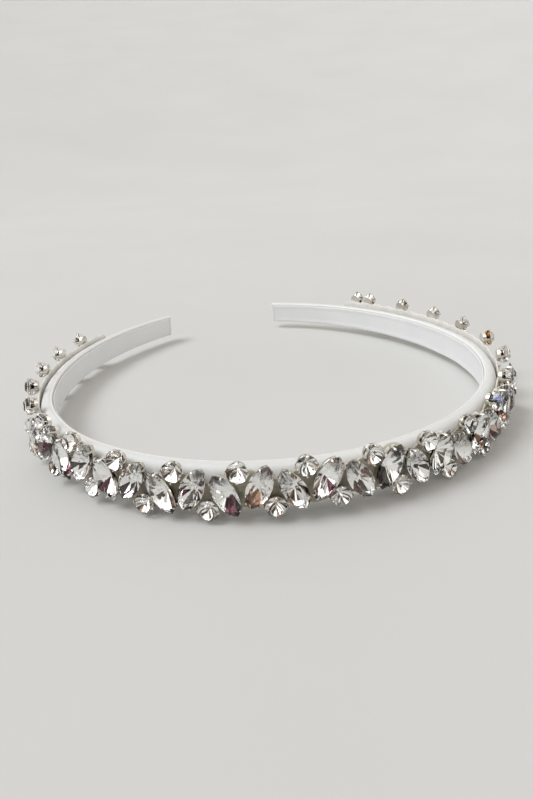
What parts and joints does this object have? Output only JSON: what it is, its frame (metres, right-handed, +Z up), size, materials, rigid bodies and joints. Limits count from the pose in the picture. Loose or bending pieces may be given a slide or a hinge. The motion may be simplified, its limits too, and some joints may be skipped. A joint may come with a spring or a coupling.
{
  "type": "rhinestone headband",
  "caption": "Stiff curved headband wrapped in white satin, its front and sides set with a zigzag of clear pointed oval and round stones in silver claw settings.",
  "frame": {"origin": "at the bottom, in the middle of the outer box", "axes": "+X across the head, from the left arm to the right arm as the picture shows them, +Y from the crown to the tips, +Z up from the surface that the headband's edge rests on"},
  "size_m": [0.1552, 0.154, 0.0178],
  "materials": {
    "satin": "white satin with a soft sheen",
    "ribbon": "smooth white ribbon",
    "backing": "thin translucent tape in nude and olive",
    "crystal": "clear faceted crystal with a silver foil back",
    "silver": "polished silver plate"
  },
  "bodies": {
    "root": {"band": "satin", "lining": "ribbon", "trim_backing": "backing", "navette_01": "crystal", "navette_02": "crystal", "navette_03": "crystal", "navette_04": "crystal", "navette_05": "crystal", "navette_06": "crystal", "navette_07": "crystal", "navette_08": "crystal", "navette_09": "crystal", "navette_10": "crystal", "navette_11": "crystal", "navette_12": "crystal", "navette_13": "crystal", "navette_14": "crystal", "navette_15": "crystal", "navette_16": "crystal", "navette_17": "crystal", "navette_18": "crystal", "navette_19": "crystal", "navette_20": "crystal", "navette_21": "crystal", "navette_22": "crystal", "round_01": "crystal", "round_02": "crystal", "round_03": "crystal", "round_04": "crystal", "round_05": "crystal", "round_06": "crystal", "round_07": "crystal", "round_08": "crystal", "round_09": "crystal", "round_10": "crystal", "round_11": "crystal", "round_12": "crystal", "round_13": "crystal", "round_14": "crystal", "round_15": "crystal", "round_16": "crystal", "round_17": "crystal", "round_18": "crystal", "arm_stones_left": "crystal", "arm_stones_right": "crystal", "navette_settings_left": "silver", "navette_settings_right": "silver", "round_settings_left": "silver", "round_settings_right": "silver", "arm_settings_left": "silver", "arm_settings_right": "silver"}
  },
  "joints": []
}
